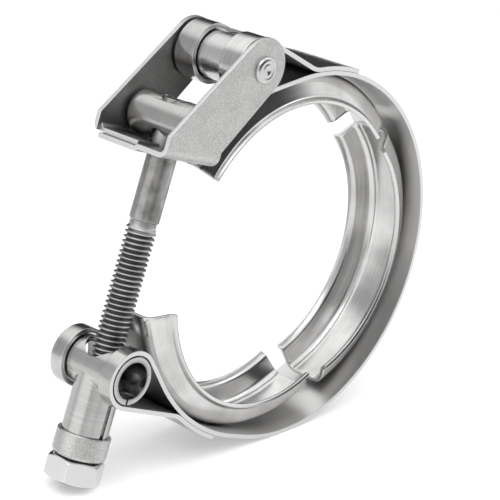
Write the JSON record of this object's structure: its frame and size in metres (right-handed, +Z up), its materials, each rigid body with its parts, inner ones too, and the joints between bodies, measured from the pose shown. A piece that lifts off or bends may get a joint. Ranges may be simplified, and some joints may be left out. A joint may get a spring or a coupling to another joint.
{
  "type": "v band clamp",
  "caption": "Stainless V band clamp: slotted-loop band with V retainers, folding over-bar latch plate and a T-bolt with barrel nut that pulls the ring shut",
  "frame": {"origin": "On the ring's axis, at the middle of the band's width.", "axes": "+Y runs along the ring's axis, which is the pipe's axis, away from the side the picture shows nearest. +Z is up, with the clamp standing on the bottom of its band and on the corner of its nut, as it was pictured. +X is to the right, and the latch and bolt are on the left."},
  "size_m": [0.0946, 0.0212, 0.0863],
  "materials": {
    "strip_steel": "cold rolled stainless strip, satin with fine lengthwise streaks",
    "retainer_steel": "formed stainless sheet, satin with soft streaks",
    "plate_steel": "tumbled stainless sheet, matte with a fine even grain",
    "pin_steel": "turned steel, satin",
    "bolt_steel": "rolled thread and turned bar, satin with darker thread roots",
    "tube_steel": "rolled stainless tube, satin",
    "nut_steel": "turned hexagon bar, bright"
  },
  "bodies": {
    "band": {"band_strip": "strip_steel", "retainer_lower": "retainer_steel", "retainer_side": "retainer_steel", "retainer_upper": "retainer_steel"},
    "latch": {"latch_near_half": "plate_steel", "latch_far_half": "plate_steel", "hinge_rivet": "pin_steel", "hinge_bush": "pin_steel"},
    "trunnion_block": {"trunnion": "tube_steel", "stem_collar": "tube_steel"},
    "nut": {"barrel_nut": "nut_steel"},
    "bolt": {"bolt_shank": "bolt_steel", "cross_bar": "bolt_steel"}
  },
  "joints": [
    {"name": "bolt_swing", "type": "hinge", "parent": "band", "child": "trunnion_block", "pos_m": [-0.04488, 0, -0.01518], "axis": [0, -1, 0], "range_deg": [0, 6.45]},
    {"name": "nut_spin", "type": "hinge", "parent": "trunnion_block", "child": "nut", "pos_m": [-0.04488, 0, -0.01518], "axis": [-0.2823, 0, -0.9593], "range_deg": [0, 3601]},
    {"name": "bolt_travel", "type": "slide", "parent": "trunnion_block", "child": "bolt", "axis": [0.2823, 0, 0.9593], "range_m": [0, 0.01]},
    {"name": "latch_swing", "type": "hinge", "parent": "band", "child": "latch", "pos_m": [-0.0175, 0, 0.04163], "axis": [0, 1, 0], "range_deg": [0, 39.4]}
  ],
  "couplings": [
    {"joint": "nut_spin", "follows": "bolt_travel", "rad_per_m": 6283.2},
    {"joint": "latch_swing", "follows": "bolt_travel", "rad_per_m": 68.591},
    {"joint": "bolt_swing", "follows": "bolt_travel", "rad_per_m": 11.17}
  ]
}
